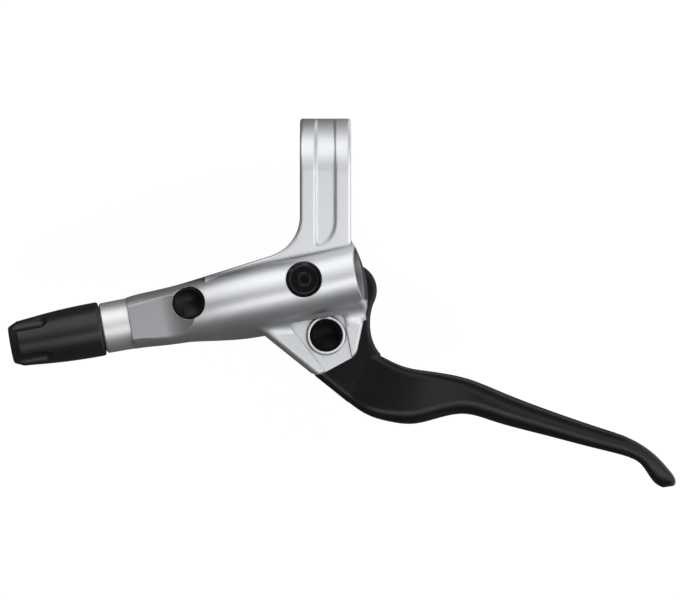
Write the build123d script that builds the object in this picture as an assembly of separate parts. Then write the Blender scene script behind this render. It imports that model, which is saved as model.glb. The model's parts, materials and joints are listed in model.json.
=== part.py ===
from build123d import *
from math import asin, atan2, cos, degrees, hypot, radians, sin, sqrt
import os

# Handlebar clamp: the bar runs along X through the origin, Y points to the rider, Z points up
bar_diameter = 22.2
band_width = 14.8
band_wall = 3.4
split_gap = 2.0
channel_width = 5.2
channel_draft = 0.5
channel_depth = 0.9
clamp_bolt_reach = 17.6
clamp_bolt_diameter = 5.0
arm_drop = 5.0

# Master cylinder barrel: its own frame has x along the bore towards the lever, z up
barrel_angle = 10.4
mouth_x = 9.7
mouth_y = -32.2
tube_radius = 9.6
tube_height = 8.4
tube_offset = 1.4
barrel_low_radius = 10.4
tail_radius = 7.55
tail_height = 2.0
tail_back = 67.5
tail_offset = -0.65
turned_radius = 7.45
turned_length = 8.3
nose_radius = 6.25
nose_length = 7.8
bore_diameter = 10.0
mouth_rake = 14.7
mouth_reach = 1.95
mouth_low = 7.0

# Reservoir over the bore
mouth_wall = 0.9
mouth_floor = 10.0
chamber_half = 6.0
chamber_top = 11.2
chamber_floor = 7.3
pocket_depth = 8.0
chamber_back = 51.0

# Bleed screw and port plug, placed along and across the bore
bleed_x = -15.7
bleed_y = 2.75
bleed_sink = 3.6
bleed_seat = tube_height + tube_radius - bleed_sink
bleed_head = 4.8
bleed_thread = 2.5
ring_wire = 0.55
plug_x = -49.6
plug_y = 2.1
plug_seat = 10.4
plug_head = 4.6
plug_stem = 3.25

# Hose gland and cover
thread_radius = 4.0
hose_radius = 2.6
cover_length = 26.8
cover_radius = 7.9
cover_tip = 5.1

# Lever bracket and pivot
pivot_back = 12.3
pivot_drop = 14.3
pivot_diameter = 6.0
front_edge_angle = -49.1
front_edge_offset = 11.25
front_wall = 2.5
ear_top = 10.5
ear_bottom = -9.8
pocket_level = 9.7
boss_radius = 5.6
boss_top = 10.9
lever_half = 4.5
flange = 0.6
side_play = 0.2
slot_half = lever_half + flange + side_play

# Lever motion and push rod
lever_travel = 24.0
nut_arm = 15.4
nut_diameter = 7.0
rod_diameter = 4.0
rod_length = 24.0
cup_depth = 5.5

# Clearances
running = 0.04
press = 0.015
thread = 0.02
play = 0.1

barrel = Location((mouth_x, mouth_y, 0), (0, 0, barrel_angle))
pivot = barrel * Location((-pivot_back, -pivot_drop, 0))
os.makedirs("parts", exist_ok=True)


def save(node, shape):
    if len(shape.solids()) != 1:
        raise ValueError(node + " is not one solid")
    export_step(Part(shape.solids()[0].wrapped), "parts/" + node + ".step")


def face_of(edges):
    return make_face(Curve() + list(edges))


def rod_x(radius, start, end):
    return Plane.YZ.offset(start) * extrude(Circle(radius), end - start)


def rod_z(x, y, radius, low, high):
    return Pos(x, y, low) * extrude(Circle(radius), high - low)


def turned(points):
    return revolve(Plane.XY * face_of(Polyline(*points, close=True).edges()), Axis.X)


def egg(x, r_top, y_top, z_top, r_low, y_low):
    rise = hypot(y_top - y_low, z_top)
    up = Vector((y_top - y_low) / rise, z_top / rise)
    lean = (r_low - r_top) / rise
    flank = sqrt(1 - lean * lean)
    out = Vector(up.Y, -up.X)
    right = up * lean + out * flank
    left = up * lean - out * flank
    crown = Vector(y_top, z_top)
    foot = Vector(y_low, 0)
    edges = [
        Line(foot + right * r_low, crown + right * r_top),
        ThreePointArc(crown + right * r_top, crown + up * r_top, crown + left * r_top),
        Line(crown + left * r_top, foot + left * r_low),
        ThreePointArc(foot + left * r_low, foot - up * r_low, foot + right * r_low)]
    return Plane.YZ.offset(x) * face_of(edges)


def lens(x, half, centre, tip, top, floor):
    crown = ThreePointArc((centre + half, tip), (centre, top), (centre - half, tip))
    bed = ThreePointArc((centre - half, tip), (centre, floor), (centre + half, tip))
    return Plane.YZ.offset(x) * face_of([crown, bed])


# Places along the bore, taken from the lever's pivot and the push rod
bore_radius = bar_diameter / 2
nut_angle = degrees(asin(pivot_drop / (nut_arm * cos(radians(lever_travel / 2))))) - lever_travel / 2
nut_x = -pivot_back + nut_arm * cos(radians(nut_angle))
nut_y = -pivot_drop + nut_arm * sin(radians(nut_angle))
rod_tip = nut_x - sqrt(rod_length ** 2 - nut_y ** 2)
rod_tilt = degrees(atan2(-nut_y, rod_tip - nut_x))
piston_rear = rod_tip + cup_depth
piston_stroke = nut_arm * (cos(radians(nut_angle)) - cos(radians(nut_angle + lever_travel)))
washer_thickness = 1.0
circlip_thickness = 0.9
cylinder_face = piston_rear + 4.5
piston_length = 27.0
piston_front = piston_rear - piston_length
spring_room = piston_stroke + 6.0
bore_end = piston_front - spring_room
tail_end = -tail_back - turned_length
nose_end = tail_end - nose_length
cyl_radius = bore_diameter / 2
seat_radius = cyl_radius + 0.6
groove_radius = seat_radius + 0.6

# Lever body: barrel, reservoir tube, bracket and clamp cast in one piece
tube = loft([
    egg(6, tube_radius, tube_offset, tube_height, barrel_low_radius - 0.6, 0),
    egg(-7, tube_radius, tube_offset * 0.85, tube_height - 0.1, barrel_low_radius - 0.2, 0),
    egg(-18, tube_radius, tube_offset * 0.55, tube_height - 0.2, barrel_low_radius, tail_offset * 0.3),
    egg(-32, tube_radius, tube_offset * 0.3, tube_height - 0.8, barrel_low_radius + 0.25, tail_offset),
    egg(-47, tube_radius - 0.8, tail_offset * 0.6, tube_height - 2.2, 9.1, tail_offset),
    egg(-57.5, tail_radius + 0.65, tail_offset, tail_height + 2.1, 7.8, tail_offset),
    egg(-tail_back, tail_radius, tail_offset, tail_height, 6.9, tail_offset),
])
hose_axis = Pos(0, tail_offset, 0)
tail = hose_axis * turned([
    (-tail_back + 1, 0), (-tail_back + 1, turned_radius), (tail_end + 0.5, turned_radius - 0.1),
    (tail_end, turned_radius - 0.6), (tail_end, nose_radius), (nose_end + 0.6, nose_radius),
    (nose_end, nose_radius - 0.6), (nose_end, 0),
])

edge_dir = Vector(cos(radians(front_edge_angle)), sin(radians(front_edge_angle)), 0)
edge_in = Vector(-edge_dir.Y, edge_dir.X, 0)
hub = Vector(-pivot_back, -pivot_drop, 0)


def along(inward, run):
    point = hub - edge_in * inward + edge_dir * run
    return (point.X, point.Y)


wall_end = 4.0
vertex = along(front_edge_offset, 5.3)
rear_wall = tube_offset + tube_radius - 0.2
right_corner = (hub.X + 7.45, hub.Y - 7.3)
edge_turn = (hub.X + 11.2, hub.Y + 1.85)
mouth_rear = (0.2, rear_wall - 0.2)
ear_edges = [
    Line(along(front_edge_offset, -14.8), vertex), Line(vertex, right_corner), Line(right_corner, edge_turn),
    Spline(edge_turn, (mouth_reach - 0.55, -6.4), (mouth_reach, 1.7), (mouth_reach - 0.55, 6.0), mouth_rear),
    Line(mouth_rear, (-24, rear_wall)), Line((-24, rear_wall), (-33, 6)),
    Line((-33, 6), along(front_edge_offset, -14.8))]
ear_face = face_of(ear_edges)
ear_face = fillet(ear_face.vertices().sort_by(Axis.Y)[0:2], 3.6)
bracket = Pos(0, 0, ear_bottom) * extrude(ear_face, ear_top - ear_bottom)
bracket = fillet(bracket.faces().sort_by(Axis.Z)[0].edges(), 2.0)
bracket = chamfer(bracket.faces().sort_by(Axis.Z)[-1].edges(), 0.5)
front_round = 2.2
band_cut = Pos(0, 0, ear_top) * Box(60, 2 * front_round, 2 * front_round)
band_cut -= Pos(-30, front_round, ear_top - front_round) * (Plane.YZ * extrude(Circle(front_round), 60))
front_frame = Location((*along(front_edge_offset, -5), 0), (0, 0, front_edge_angle))
bracket -= front_frame * band_cut

# Clamp band, arm, gusset and split lug
band_radius = bore_radius + band_wall
half = band_width / 2
split_low = -8.0
split_high = split_low + split_gap
lug_front = -clamp_bolt_reach - 4.2
lug_low = -14.5
arm_top = band_radius * cos(radians(arm_drop))
arm_rear = -band_radius * sin(radians(arm_drop))
arm_end = mouth_y - 2.0
arm_end_top = arm_top - (arm_rear - arm_end) * sin(radians(arm_drop))
band = Plane.YZ.offset(-half) * extrude(Circle(band_radius), band_width)
edge_round = 0.8
band = fillet(band.edges().filter_by(GeomType.CIRCLE), edge_round)
arm_low = split_high - 2
arm_side = face_of(Polyline(
    (arm_rear, arm_top), (arm_end, arm_end_top), (arm_end, 0), (0, 0), close=True).edges())
gusset_left = -half - 27.5
gusset_low = 2.0
gusset_tail = (gusset_left, mouth_y + 0.7)
gusset_foot = (-half - 8.4, mouth_y + 6.7)
gusset_head = (-half, mouth_y + 18.0)
sweep_dir = Vector(gusset_foot) - Vector(gusset_tail)
arm_edges = [
    Line((half, 1), (half, arm_end)), Line((half, arm_end), (gusset_left, arm_end)),
    Line((gusset_left, arm_end), gusset_tail), Line(gusset_tail, gusset_foot),
    TangentArc(gusset_foot, gusset_head, tangent=sweep_dir),
    Line(gusset_head, (-half, 1)), Line((-half, 1), (half, 1))]
arm = Pos(0, 0, gusset_low) * extrude(face_of(arm_edges), 20)
arm &= Plane.YZ.offset(gusset_left - 1) * extrude(arm_side, half - gusset_left + 2)
arm_rim = arm.faces().sort_by(Axis.Z)[-1].edges()
arm_rim = arm_rim.filter_by_position(Axis.Y, arm_end + 0.1, arm_rear - 0.1)
arm_rim = arm_rim.filter_by_position(Axis.X, gusset_left + 0.1, half + 0.1)
arm = fillet(arm_rim, edge_round)
web_height = gusset_low + 0.5 - arm_low
arm += Pos(0, (arm_end - 8) / 2, arm_low + web_height / 2) * Box(band_width, -arm_end - 8, web_height)
lug_face = face_of(Polyline(
    (-4, lug_low), (lug_front, lug_low), (lug_front, split_low + 1), (-4, split_low + 1), close=True).edges())
lug = Plane.YZ.offset(-half) * extrude(lug_face, band_width)
lug = fillet(lug.edges().filter_by(Axis.Z).sort_by(Axis.Y)[0:2], 5.0)


def skirt_section(x, offset, height, radius):
    lift = ear_top + radius - height
    out = sqrt((tube_radius + radius) ** 2 - lift ** 2)
    scale = tube_radius / (tube_radius + radius)
    low = (offset - out, ear_top - 0.02)
    high = (offset - out * scale + 0.2, height + lift * scale)
    hollow = (offset - out + radius * 0.72, ear_top + radius * 0.3)
    inner = offset - tube_radius + 2
    base = slot_half - 3.0
    edges = [
        ThreePointArc(low, hollow, high), Line(high, (inner, high[1])), Line((inner, high[1]), (inner, base)),
        Line((inner, base), (low[0], base)), Line((low[0], base), low)]
    return Plane.YZ.offset(x) * face_of(edges)


skirt = loft([
    skirt_section(hub.X - 19.5, tube_offset * 0.3, tube_height - 0.85, 0.3),
    skirt_section(hub.X - 16.5, tube_offset * 0.35, tube_height - 0.65, 2.6),
    skirt_section(hub.X - 9.7, tube_offset * 0.45, tube_height - 0.3, 5.5),
    skirt_section(mouth_reach + 2.0, tube_offset, tube_height, 6.0)], ruled=True)
part = barrel * (tube + bracket + skirt + tail) + band + arm + lug

# Slot for the lever arm, open to the right and at the bottom
slot_radius = front_edge_offset - front_wall
slot_rear = rear_wall - 2.4
swing_room = 1.6
slot_points = [
    (hub.X, hub.Y), along(slot_radius, 0), along(slot_radius, wall_end),
    along(front_edge_offset + 4, wall_end), (hub.X + 17, hub.Y - 31), (14, hub.Y + 4), (14, slot_rear),
    (cylinder_face, slot_rear), (cylinder_face, -cyl_radius),
    (cylinder_face - swing_room, -cyl_radius - swing_room), (cylinder_face - swing_room, hub.Y)]
slot = face_of(Polyline(*slot_points, close=True).edges()) + Pos(hub.X, hub.Y) * Circle(slot_radius)
part -= barrel * (Pos(0, 0, -slot_half) * extrude(slot, 2 * slot_half))

# Machined flat round the pivot, with its boss
flat = face_of(Polyline(
    (-10.5, 5.4), (6.2, 5.2), (6.2, -7.6), (5.3, -13.2), (-0.4, -13.2), (-3.5, -7.7), close=True).edges())
flat = fillet(flat.vertices().sort_by(Axis.Y)[-2:], 1.2)
part -= barrel * (Pos(hub.X, hub.Y, pocket_level) * extrude(flat, 9))
boss = rod_z(hub.X, hub.Y, boss_radius, slot_half, boss_top)
boss = fillet(boss.edges().sort_by(Axis.Z)[-1], 0.4)
part += barrel * boss

# Open end: raked above the mouth's lowest point, following the bracket's outline below it
rake = Location((mouth_reach, 0, mouth_low), (0, -mouth_rake, 0))
part -= barrel * rake * (Pos(20, -9, 20) * Box(40, 40, 40))
end_low = -tube_radius - 4.0
end_high = tube_offset + tube_radius + 1.0
end_plan = Pos(10, (end_low + end_high) / 2) * Rectangle(20, end_high - end_low) - ear_face
part -= barrel * (Pos(0, 0, ear_bottom - 5) * extrude(end_plan, 40))

# Flat above the ports, running out upwards behind the plug
run = Line((-tail_back - 0.4, 7.8), (-57.5, 9.9))
rise = JernArc(start=run @ 1, tangent=run % 1, radius=18.0, arc_size=40)
top_line = Line(rise @ 1, (-tail_back - 0.4, (rise @ 1).Y))
port_flat = Plane.XZ * face_of([run, rise, top_line, Line(top_line @ 1, run @ 0)])
part -= barrel * extrude(port_flat, 12, both=True)

# Clamp bore, split, bolt holes and the channel round the band
head_radius = 4.25
head_seat = lug_low + 3.2
bolt_radius = clamp_bolt_diameter / 2
bolt_end = 7.0
part -= Plane.YZ.offset(-half - 1) * extrude(Circle(bore_radius), band_width + 2)
part -= Pos(0, lug_front / 2 - 4, (split_low + split_high) / 2) * Box(band_width + 2, -lug_front, split_gap)
part -= rod_z(0, -clamp_bolt_reach, bolt_radius + 0.25, lug_low - 1, split_low + 0.1)
part -= rod_z(0, -clamp_bolt_reach, head_radius + 0.35, lug_low - 1, head_seat)
part -= rod_z(0, -clamp_bolt_reach, bolt_radius + thread, split_high - 0.1, bolt_end + 1.5)
floor_half = channel_width / 2
rim_half = floor_half + channel_draft
channel_rim = band_radius + channel_depth
channel = face_of(Polyline(
    (-floor_half, band_radius), (floor_half, band_radius), (rim_half, channel_rim + 0.01),
    (rim_half, channel_rim + 2), (-rim_half, channel_rim + 2), (-rim_half, channel_rim + 0.01),
    close=True).edges())
wrap = Rot(arm_drop, 0, 0) * Pos(0, 0, -channel_depth) * revolve(Plane.XZ * channel, Axis.X, -100)
part -= wrap
arm_tilt = radians(arm_drop)
arm_plane = Plane(origin=(0, arm_rear, arm_top), x_dir=(1, 0, 0), z_dir=(0, -sin(arm_tilt), cos(arm_tilt)))
channel_turn = (floor_half, -14.5)
channel_tip = (-floor_half, -21.7)
channel_plan = face_of([
    Line((-floor_half, 0.5), channel_tip), Line(channel_turn, (floor_half, 0.5)),
    TangentArc(channel_turn, channel_tip, tangent=(0, -1)), Line((floor_half, 0.5), (-floor_half, 0.5))])
channel_plan = fillet(channel_plan.vertices().sort_by(Axis.Y)[0], 0.9)
channel_cut = extrude(channel_plan, channel_depth + 0.6, taper=-degrees(atan2(channel_draft, channel_depth)))
part -= arm_plane * (Pos(0, 0, -channel_depth) * channel_cut)

# Reservoir with its raked mouth pocket
mouth_half = tube_radius - mouth_wall - 1.0
mouth_top = tube_height + tube_radius - mouth_wall
mouth_tip = 12.45
chamber_tip = 9.6
pocket = lens(-pocket_depth, mouth_half, tube_offset, mouth_tip, mouth_top, mouth_floor)
pocket = extrude(pocket, pocket_depth + 8)
chamber = loft([
    lens(-pocket_depth + 0.5, chamber_half, tube_offset, chamber_tip, chamber_top, chamber_floor),
    lens(-chamber_back, 4.0, 0.6, 8.2, 9.2, chamber_floor)])
part -= barrel * pocket
part -= barrel * chamber

# Bleed screw seat and port plug seat
ring_radius = bleed_thread + ring_wire + 0.05
ring_room = ring_radius + ring_wire + 0.05
part -= barrel * rod_z(bleed_x, bleed_y, bleed_head + 0.4, bleed_seat, 25)
part -= barrel * rod_z(bleed_x, bleed_y, ring_room, bleed_seat - 2 * ring_wire, bleed_seat + 1)
part -= barrel * rod_z(bleed_x, bleed_y, bleed_thread + thread, chamber_floor + 1.5, bleed_seat)
part -= barrel * rod_z(plug_x, plug_y, plug_head + 0.15, plug_seat, 20)
part -= barrel * rod_z(plug_x, plug_y, plug_stem + 0.05, chamber_floor + 0.7, plug_seat + 1)

# Cylinder bore with circlip groove, ports and hose connection
port_x = piston_front + 1.0
inlet_x = piston_front + 8.0
washer_seat = piston_rear + 0.05
circlip_x = washer_seat + washer_thickness + 0.05
olive_end = tail_end + 2.5
part -= barrel * rod_x(cyl_radius, bore_end, 0)
part -= barrel * rod_x(seat_radius, washer_seat, 0)
part -= barrel * rod_x(groove_radius, circlip_x - 0.05, circlip_x + circlip_thickness + 0.05)
part -= barrel * rod_z(port_x, 0, 0.5, cyl_radius - 1, chamber_floor + 0.8)
part -= barrel * rod_z(inlet_x, 0, 0.9, cyl_radius - 1, chamber_floor + 0.8)
part -= barrel * hose_axis * turned([
    (nose_end - 1, 0), (nose_end - 1, thread_radius + thread), (olive_end, thread_radius + thread),
    (olive_end, 3.5), (olive_end + 1.6, 1.2), (bore_end + 1, 1.2), (bore_end + 1, 0)])

# Pivot bores
pin_radius = pivot_diameter / 2
pin_seat = 7.2
cap_radius = 4.7
part -= barrel * rod_z(hub.X, hub.Y, pin_radius + press, ear_bottom - 1, pin_seat + 1)
part -= barrel * rod_z(hub.X, hub.Y, cap_radius + 0.05, pin_seat, 20)
save("lever_body", part)

# Fasteners, plug and caps on the body
bolt = rod_z(0, -clamp_bolt_reach, bolt_radius, head_seat, bolt_end)
bolt += rod_z(0, -clamp_bolt_reach, head_radius, head_seat - 5.0, head_seat)
bolt -= Pos(0, -clamp_bolt_reach, head_seat - 5.0) * extrude(RegularPolygon(2.0, 6, major_radius=False), 2.6)
bolt = chamfer(bolt.edges().filter_by(GeomType.CIRCLE).sort_by(Axis.Z)[0], 0.5)
save("clamp_bolt", bolt)

screw = rod_z(0, 0, bleed_head, bleed_seat, bleed_seat + 2.2)
screw = chamfer(screw.edges().sort_by(Axis.Z)[-1], 0.6)
screw -= rod_z(0, 0, 3.9, bleed_seat + 1.6, bleed_seat + 3)
screw += rod_z(0, 0, 1.95, bleed_seat, bleed_seat + 2.3)
screw += rod_z(0, 0, bleed_thread, bleed_seat - 4.4, bleed_seat)
screw -= Pos(0, 0, bleed_seat + 0.4) * extrude(RegularPolygon(1.25, 6, major_radius=False), 4)
save("bleed_screw", barrel * Pos(bleed_x, bleed_y) * screw)
save("bleed_o_ring", barrel * Pos(bleed_x, bleed_y, bleed_seat - ring_wire) * Torus(ring_radius, ring_wire))

plug = revolve(Plane.XZ * face_of(Polyline(
    (0, plug_seat - 2.2), (plug_stem - 0.4, plug_seat - 2.2), (plug_stem, plug_seat - 1.6),
    (plug_stem, plug_seat), (plug_head, plug_seat), (plug_head, plug_seat + 1.9),
    (plug_head - 0.25, plug_seat + 2.15), (0, plug_seat + 2.15), close=True).edges()), Axis.Z)
plug_dish = plug_head - 0.7
dish_sink = 1.3
plug_ball = (plug_dish ** 2 + dish_sink ** 2) / (2 * dish_sink)
plug -= Pos(0, 0, plug_seat + 2.15 - dish_sink + plug_ball) * Sphere(plug_ball)
save("port_plug", barrel * Pos(plug_x, plug_y) * plug)

pin = rod_z(0, 0, pin_radius, ear_bottom + 0.6, pin_seat)
pin += rod_z(0, 0, cap_radius - 0.2, pin_seat, pin_seat + 1.4)
pin -= Pos(0, 0, pin_seat - 1) * extrude(RegularPolygon(1.5, 6, major_radius=False), 4)
save("pivot_pin", pivot * pin)
cap_low = pin_seat + 1.4
cap_top = boss_top - 0.2
dish_radius = 3.8
dish_depth = 0.95
dish_ball = (dish_radius ** 2 + dish_depth ** 2) / (2 * dish_depth)
cap = rod_z(0, 0, cap_radius, cap_low, cap_top)
cap = chamfer(cap.edges().sort_by(Axis.Z)[-1], 0.2)
cap -= Pos(0, 0, cap_top - dish_depth + dish_ball) * Sphere(dish_ball)
save("pivot_cap", pivot * cap)

# Reservoir diaphragm held by its retainer
lip = 1.0
lip_x = -pocket_depth
fit_half = mouth_half - 0.1
fit_top = mouth_top - 0.05
fit_floor = mouth_floor + 0.05
diaphragm = extrude(lens(lip_x, fit_half, tube_offset, mouth_tip, fit_top, fit_floor), lip)
dome_half = mouth_half - 2.3
dome_top = mouth_top - 1.7
dome_floor = mouth_floor + 1.6
dome_tip = (dome_top + dome_floor) / 2 - 0.2
diaphragm += extrude(lens(lip_x, dome_half, tube_offset, dome_tip, dome_top, dome_floor), 2.4)
skin = 0.7
hollow = lens(lip_x - 0.6, dome_half - 0.8, tube_offset, dome_tip, dome_top - skin, dome_floor + skin)
diaphragm -= extrude(hollow, 2.3)
save("reservoir_diaphragm", barrel * diaphragm)
retainer = extrude(lens(lip_x + lip, fit_half, tube_offset, mouth_tip, fit_top, fit_floor), 1.6)
retainer -= extrude(lens(lip_x, dome_half + 0.2, tube_offset, dome_tip, dome_top + 0.2, dome_floor - 0.2), 5)
save("diaphragm_retainer", barrel * retainer)

# Hose gland and its cover
gland = rod_x(thread_radius, nose_end - 0.2, olive_end - 2.4)
gland += Plane.YZ.offset(nose_end - 5.2) * extrude(RegularPolygon(4.5, 6, major_radius=False), 5.0)
gland -= rod_x(hose_radius, nose_end - 8, olive_end)
save("connecting_bolt", barrel * hose_axis * gland)
olive = turned([
    (olive_end - 2.35, hose_radius), (olive_end - 2.35, 3.2), (olive_end - 1.6, 3.45),
    (olive_end - 0.6, 3.45), (olive_end - 0.05, 3.0), (olive_end - 0.05, hose_radius)])
save("olive", barrel * hose_axis * olive)

cover_front = tail_end - 0.3
cover_back = cover_front - cover_length
cover_grip = nose_radius + press
cover_cavity = cover_grip - 0.65
cavity_end = nose_end - 8.4
hose_hole = hose_radius + 0.3
neck = (cover_back + 2.7, cover_tip + 1.45)
side_start = (cover_front - 0.5, cover_radius)
side_middle = (cover_front - 11.9, cover_radius - 0.3)
cover_side = Spline(side_start, side_middle, neck, tangents=[(-1, 0), (-1, -0.09)])
step_x = nose_end - 0.1
inside = Polyline(
    neck, (cover_back + 0.4, cover_tip + 0.4), (cover_back, cover_tip), (cover_back, hose_hole),
    (cavity_end, hose_hole), (cavity_end, cover_cavity), (step_x, cover_cavity), (step_x, cover_grip),
    (cover_front, cover_grip), (cover_front, cover_radius - 0.35), side_start)
cover_half = [cover_side] + list(inside.edges())
cover = revolve(Plane.XY * face_of(cover_half), Axis.X)
scallop_radius = 2.4
scallop_end = cover_back + 9.5
scallop = rod_x(scallop_radius, cover_back - 2, scallop_end) + Pos(scallop_end, 0, 0) * Sphere(scallop_radius)
for turn in range(4):
    cover -= Rot(45 + 90 * turn, 0, 0) * (Pos(0, 0, cover_radius + 0.35) * scallop)
save("hose_cover", barrel * hose_axis * cover)

# Piston, seals, spring and stop
piston_radius = cyl_radius - running
seal_x = piston_front + 2.0
rear_seal_x = piston_rear - 9.5
seal_width = 2.2
seal_root = 3.4
piston = turned([
    (piston_rear, 0), (piston_rear, piston_radius - 0.3), (piston_rear - 0.3, piston_radius),
    (rear_seal_x + seal_width, piston_radius), (rear_seal_x + seal_width, seal_root),
    (rear_seal_x, seal_root), (rear_seal_x, piston_radius), (rear_seal_x - 1.5, piston_radius),
    (rear_seal_x - 2.5, 3.6), (seal_x + seal_width + 2.5, 3.6), (seal_x + seal_width + 1.5, piston_radius),
    (seal_x + seal_width, piston_radius), (seal_x + seal_width, seal_root), (seal_x, seal_root),
    (seal_x, piston_radius - 0.6), (piston_front + 1, piston_radius - 0.6), (piston_front + 1, 2.6),
    (piston_front - 1.5, 2.6), (piston_front - 1.5, 0)])
cup_bottom = rod_tip - play
piston -= rod_x(3.0, cup_bottom, piston_rear + 1)
save("piston", barrel * piston)
for node, seal in (("primary_seal", seal_x), ("secondary_seal", rear_seal_x)):
    ring = turned([
        (seal + 0.1, seal_root + press), (seal + seal_width - 0.1, seal_root + press),
        (seal + seal_width - 0.1, cyl_radius - 0.5), (seal + 0.1, cyl_radius - 0.03),
        (seal + 0.1, cyl_radius - 0.6), (seal + 0.8, seal_root + 0.6), (seal + 0.1, seal_root + 0.6)])
    save(node, barrel * ring)

wire = 0.4
spring_start = bore_end + wire
spring_length = piston_front + 1 - wire - spring_start
coil = Helix(pitch=spring_length / 5.5, height=spring_length, radius=3.6)
wire_face = Plane(origin=coil @ 0, z_dir=coil % 0) * Circle(wire)
spring = sweep(wire_face, path=coil)
save("return_spring", barrel * Location((spring_start, 0, 0), (0, 90, 0)) * spring)

washer = rod_x(seat_radius - 0.05, washer_seat, washer_seat + washer_thickness)
washer -= rod_x(2.9, washer_seat - 1, washer_seat + 3)
save("stop_washer", barrel * washer)
circlip = rod_x(groove_radius - 0.05, circlip_x, circlip_x + circlip_thickness)
circlip -= rod_x(seat_radius - 1.2, circlip_x - 1, circlip_x + 3)
circlip -= Pos(circlip_x, 0, -seat_radius) * Box(6, 3.0, 4)
save("circlip", barrel * circlip)

# Push rod with its barrel nut
nut_radius = nut_diameter / 2
rod_radius = rod_diameter / 2
rod_frame = barrel * Location((nut_x, nut_y, 0), (0, 0, rod_tilt))
rod_back = sqrt(nut_radius ** 2 - rod_radius ** 2) - 0.15
rod = rod_x(rod_radius, -rod_back, rod_length - rod_radius)
rod += Pos(rod_length - rod_radius, 0, 0) * Sphere(rod_radius)
rod -= Plane.YZ.offset(-rod_back) * extrude(RegularPolygon(1.0, 6, major_radius=False), 2.5)
save("push_rod", rod_frame * rod)
nut = rod_z(0, 0, nut_radius, -lever_half + 0.1, lever_half - 0.1)
nut -= rod_x(rod_radius + thread, -9, 9)
save("barrel_nut", rod_frame * nut)

# Lever: hub, arm and blade
hub_radius = slot_radius - 0.45
bump_x = nut_x + 1.3
bump_y = nut_y - 1.7
bump_radius = 7.9
front_step = wall_end + 0.3


def blade(front, rear, half_height, r_front, r_rear):
    run = Vector(rear[0] - front[0], rear[1] - front[1], 0)
    width = run.length
    side = Plane(
        origin=(front[0], front[1], 0), x_dir=run.normalized(), z_dir=(run.Y / width, -run.X / width, 0))
    h = half_height
    cf = r_front * (1 - sqrt(0.5))
    cr = r_rear * (1 - sqrt(0.5))
    return side * face_of([
        Line((r_front, -h), (width - r_rear, -h)),
        ThreePointArc((width - r_rear, -h), (width - cr, -h + cr), (width, -h + r_rear)),
        Line((width, -h + r_rear), (width, h - r_rear)),
        ThreePointArc((width, h - r_rear), (width - cr, h - cr), (width - r_rear, h)),
        Line((width - r_rear, h), (r_front, h)),
        ThreePointArc((r_front, h), (cf, h - cf), (0, h - r_front)),
        Line((0, h - r_front), (0, -h + r_front)),
        ThreePointArc((0, -h + r_front), (cf, -h + cf), (r_front, -h))])


finger = loft([
    blade((-0.6, -6.8), (6.7, -1.5), lever_half - 0.4, 1.2, 1.2),
    blade((-1.0, -11.9), (8.6, -4.9), lever_half - 0.25, 1.2, 1.2),
    blade((6.3, -19.3), (13.0, -4.9), lever_half - 0.05, 1.8, 1.4),
    blade((11.0, -22.6), (16.2, -6.2), lever_half + 0.6, 2.4, 1.6),
    blade((18.0, -25.0), (22.5, -9.1), lever_half + 1.2, 3.2, 2.0),
    blade((25.0, -25.75), (28.5, -10.3), lever_half + 1.2, 3.8, 2.4),
    blade((32.5, -24.1), (35.0, -11.25), lever_half + 0.8, 3.9, 2.8),
    blade((39.5, -22.85), (41.5, -12.75), lever_half + 0.45, 3.8, 3.4),
    blade((48.5, -25.0), (51.0, -16.5), lever_half + 0.4, 3.8, 4.0),
    blade((62.0, -28.65), (64.5, -21.7), lever_half + 0.4, 3.2, 3.7),
    blade((79.0, -33.05), (81.3, -27.45), lever_half + 0.2, 2.4, 3.0),
    blade((88.3, -35.6), (91.3, -31.6), lever_half, 2.1, 2.4),
    blade((91.6, -37.6), (96.0, -35.15), lever_half - 0.2, 2.1, 2.4),
    blade((93.9, -40.8), (99.3, -38.7), lever_half - 0.5, 2.4, 2.6),
    blade((96.0, -43.3), (101.5, -42.0), lever_half - 1.3, 2.4, 2.4),
    blade((97.8, -44.25), (101.0, -43.8), lever_half - 2.7, 1.2, 1.2),
])


def to_lever(point):
    return (Rot(0, 0, barrel_angle) * Pos(point[0] - hub.X, point[1] - hub.Y)).position


shoulder_in = to_lever(along(hub_radius, front_step))
shoulder_out = to_lever(along(front_edge_offset, front_step))
plate_front = to_lever(along(front_edge_offset, front_step + 13.5))
hub_round = Circle(hub_radius)
bump_round = Pos(to_lever((bump_x, bump_y))) * Circle(bump_radius)
web = face_of([
    Line(shoulder_in, shoulder_out), Line(shoulder_out, plate_front), Line(plate_front, (15.9, -5.6)),
    Spline((15.9, -5.6), (13.5, -1.5), (12.75, 3.0), (13.1, 7.0), (14.2, 10.3)),
    Line((14.2, 10.3), (0, 0)), Line((0, 0), shoulder_in)])
plate = make_hull(hub_round.edges() + bump_round.edges()) + web
plate = Pos(0, 0, -lever_half) * extrude(plate, 2 * lever_half)
front_dir = Vector(plate_front - shoulder_out).normalized()
plate_round = 0.8


def is_front(edge):
    return edge.geom_type == GeomType.LINE and abs((edge % 0.5).dot(front_dir)) > 0.9999


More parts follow.
